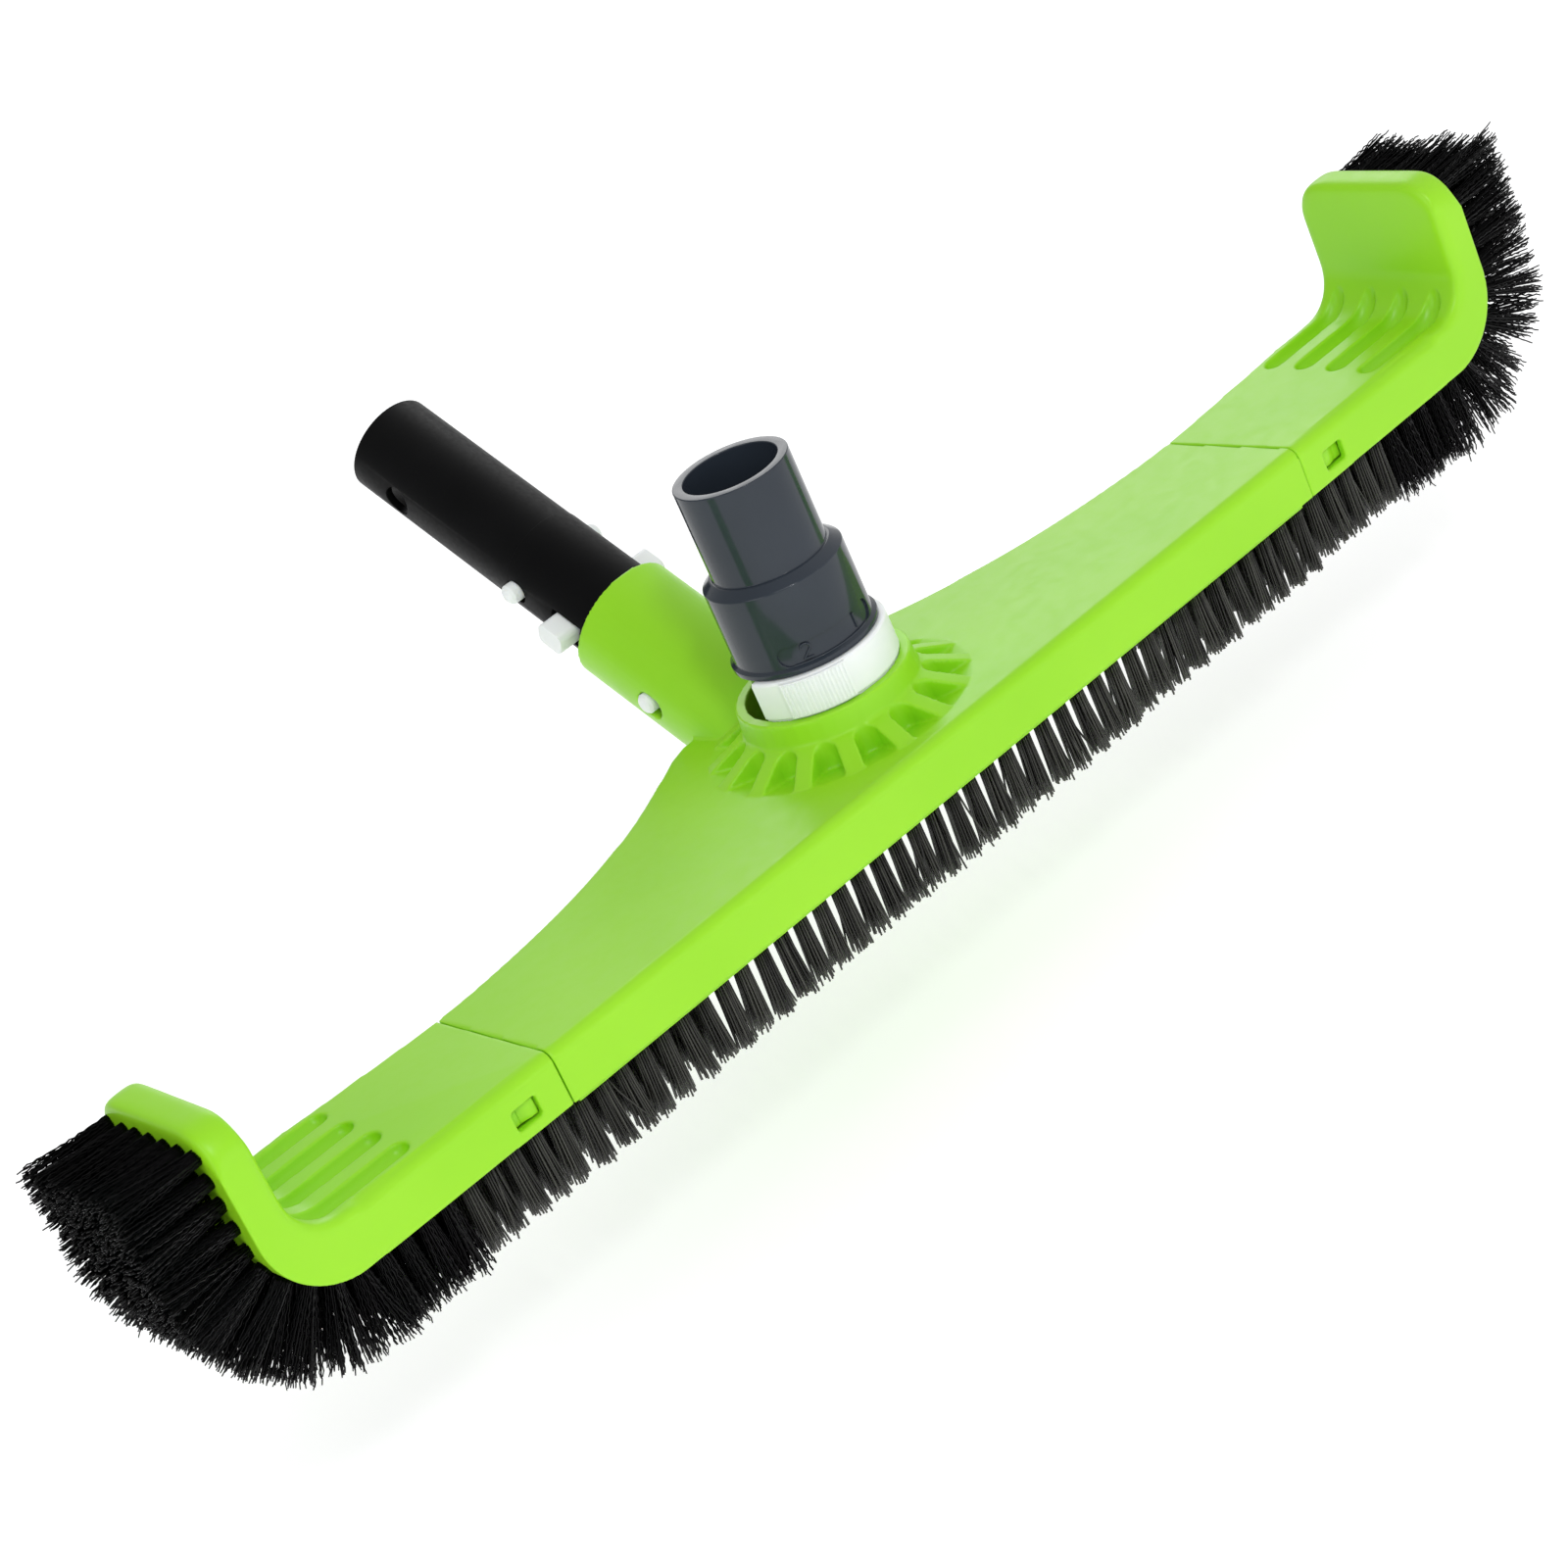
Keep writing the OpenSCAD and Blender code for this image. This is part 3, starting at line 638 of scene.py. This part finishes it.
def rear_edge(x):
    """The rear edge's y: deepest in the middle, falling away to both sides."""
    fall = (max(abs(x) - 22, 0) / 48) ** 1.2
    return min(3.6 + 41.4 * math.exp(-fall), HALF_DEPTH)


def centre_tuft(x, y):
    return grey_tuft(x, y, ROOT_Z, CENTRE_LENGTH)


front = [centre_tuft((i - (FRONT_COUNT - 1) / 2) * PITCH, -38.4) for i in range(FRONT_COUNT)]
add_filaments("front_filaments", GREY, front, "centre_front_tufts")
rear_places = [(i - (REAR_COUNT - 1) / 2) * REAR_PITCH for i in range(REAR_COUNT)]
rear = [centre_tuft(x, rear_edge(x) - 6.2) for x in rear_places]
add_filaments("rear_filaments", GREY, rear, "centre_rear_tufts")
for side, sign in SIDES:
    places = [sign * (SIDE_START + 5.4 + i * PITCH) for i in range(7)]
    block = [centre_tuft(x, y) for x in places for y in SIDE_ROWS]
    add_filaments(side + "_side_filaments", GREY, block, f"centre_{side}_tufts")

# ------------------------------------------------------------------ tufts of the end pieces
# The root line climbs slightly outwards, turns up round a bend and ends upright.
END_START = 138
END_OUTER = 223.8
END_RISE = 0.7
BEND_RADIUS = 21.8
BEND_X = END_OUTER - BEND_RADIUS
BEND_Z = END_RISE + BEND_RADIUS
END_ROWS = [-HALF_DEPTH + 6.4 + 6.7 * i for i in range(7)]
GREY_PLACES = [END_START + 4.2 + PITCH * i for i in range(5)]
BLACK_PITCH = 6.6
BLACK_LENGTH = 24.0
SIDEWAYS_SPLAY = {"flat": 2.0, "bend": 3.8, "upright": 2.1}


def end_rise(x):
    return END_RISE * (x - END_START) / (BEND_X - END_START)


def black_roots(sign):
    """(part, x, z, direction, length) of a row's black tufts, from inside to outside."""
    roots = []
    for i in range(4):
        x = END_START + 38.6 + BLACK_PITCH * i
        roots.append(("flat", sign * x, end_rise(x), DOWN, BLACK_LENGTH - 1.5))
    for i in range(6):
        turn = math.radians(3 + 16.6 * i)
        x = BEND_X + BEND_RADIUS * math.sin(turn)
        z = BEND_Z - BEND_RADIUS * math.cos(turn)
        direction = (sign * math.sin(turn), 0, -math.cos(turn))
        roots.append(("bend", sign * x, z, direction, BLACK_LENGTH))
    for i in range(4):
        z = BEND_Z + 5.4 + BLACK_PITCH * i
        roots.append(("upright", sign * END_OUTER, z, (sign, 0, 0), BLACK_LENGTH))
    return roots


for side, sign in SIDES:
    block = [
        grey_tuft(sign * x, y, end_rise(x), DROP + end_rise(x) - 0.4)
        for x in GREY_PLACES
        for y in END_ROWS
    ]
    add_filaments(side + "_end_grey_filaments", GREY, block, side + "_end_grey_tufts")
    groups = {part: [] for part in SIDEWAYS_SPLAY}
    roots = black_roots(sign)
    for row, y in enumerate(END_ROWS):
        for k, (part, x, z, direction, length) in enumerate(roots):
            # The outermost tufts are denser, as their sides are in view.
            full = row in (0, len(END_ROWS) - 1) or k >= len(roots) - 2
            count = 56 if full else 36
            groups[part].append(tuft(
                BLACK, (x, y, z), direction, length, count,
                splay=(1.60, SIDEWAYS_SPLAY[part]), pack=1.02 if full else 1.26,
            ))
    for part, tufts in groups.items():
        stem = f"{side}_end_{part}_black_"
        add_filaments(stem + "filaments", BLACK, tufts, stem + "tufts")


# ------------------------------------------------------------------ stage
FLOOR_GAP = 60.0 * MM  # below the grey tips
AIM = Vector((0, 0, -0.03))


def add_floor():
    mesh = bpy.data.meshes.new("floor")
    bm = bmesh.new()
    bmesh.ops.create_grid(bm, x_segments=8, y_segments=8, size=6)
    bm.to_mesh(mesh)
    bm.free()
    floor = link_object("floor", mesh)
    floor.location = (0, 0, BASE_Z - DROP * MM - FLOOR_GAP)
    shader = Shader("pale_floor")
    shader.tint(
        shader.noise(scale=3, detail=2.0),
        dark=(0.93, 0.93, 0.93), light=(0.95, 0.95, 0.95), stops=(0.2, 0.8),
    )
    shader.set({
        "Roughness": 0.9, "Emission Color": (1, 1, 1, 1), "Emission Strength": 0.38
    })
    mesh.materials.append(shader.material)


def add_light(name, place, size, power, size_y=None):
    light = bpy.data.lights.new(name, "AREA")
    light.energy = power
    light.size = size
    if size_y:
        light.shape = "RECTANGLE"
        light.size_y = size_y
    ob = bpy.data.objects.new(name, light)
    ob.location = place
    ob.rotation_mode = "QUATERNION"
    ob.rotation_quaternion = (AIM - Vector(place)).to_track_quat("-Z", "Y")
    bpy.context.scene.collection.objects.link(ob)


def add_world():
    """Surroundings that brighten from grey to white towards +x."""
    world = bpy.data.worlds.new("studio")
    bpy.context.scene.world = world
    world.use_nodes = True
    tree = world.node_tree
    background = tree.nodes["Background"]
    coords = tree.nodes.new("ShaderNodeTexCoord")
    facing = tree.nodes.new("ShaderNodeVectorMath")
    facing.operation = "DOT_PRODUCT"
    facing.inputs[1].default_value = (0.93, 0.10, 0.35)
    ramp = tree.nodes.new("ShaderNodeValToRGB")
    grey, white = ramp.color_ramp.elements
    grey.position = 0.0
    grey.color = (0.55, 0.56, 0.57, 1)
    white.position = 0.75
    white.color = (1, 1, 1, 1)
    tree.links.new(coords.outputs["Generated"], facing.inputs[0])
    tree.links.new(facing.outputs["Value"], ramp.inputs["Fac"])
    tree.links.new(ramp.outputs["Color"], background.inputs["Color"])
    background.inputs["Strength"].default_value = 0.80


def add_camera(azimuth, elevation, roll, distance, shift_right, shift_up, lens):
    """A camera looking down past the front edge. Angles are in degrees, lengths in mm."""
    azimuth, elevation, roll = map(math.radians, (azimuth, elevation, roll))
    view = Vector((
        math.sin(azimuth) * math.cos(elevation),
        math.cos(azimuth) * math.cos(elevation),
        -math.sin(elevation),
    ))
    level = view.cross(Vector((0, 0, 1))).normalized()
    upright = level.cross(view)
    right = math.cos(roll) * level + math.sin(roll) * upright
    up = -math.sin(roll) * level + math.cos(roll) * upright
    target = Vector((0, FRONT_Y / MM, BASE_Z / MM))
    eye = (target - distance * view + shift_right * right + shift_up * up) * MM
    data = bpy.data.cameras.new("camera")
    data.sensor_width = 36
    data.lens = lens
    data.clip_start = 0.05
    data.clip_end = 30
    camera = bpy.data.objects.new("camera", data)
    rows = [(right[i], up[i], -view[i], eye[i]) for i in range(3)]
    camera.matrix_world = Matrix((*rows, (0, 0, 0, 1)))
    bpy.context.scene.collection.objects.link(camera)
    bpy.context.scene.camera = camera


add_floor()
add_light("key", place=(-0.75, -1.2, 1.45), size=0.9, power=5.2)
add_light("left", place=(-1.7, -0.35, 0.70), size=0.9, power=4.6)
add_light("back", place=(1.25, 1.55, 0.95), size=1.1, power=6.3)
add_light("low", place=(0.2, -1.7, 0.10), size=1.6, power=2.8, size_y=0.5)
add_light("glint", place=(-0.35, -1.35, 1.15), size=0.20, power=5.2)
add_world()
add_camera(
    azimuth=30.295, elevation=25.156, roll=-24.573,
    distance=969.12, shift_right=-46.74, shift_up=-0.831, lens=87.820425,
)
bpy.context.scene.view_settings.view_transform = "Standard"
bpy.context.scene.view_settings.look = "None"
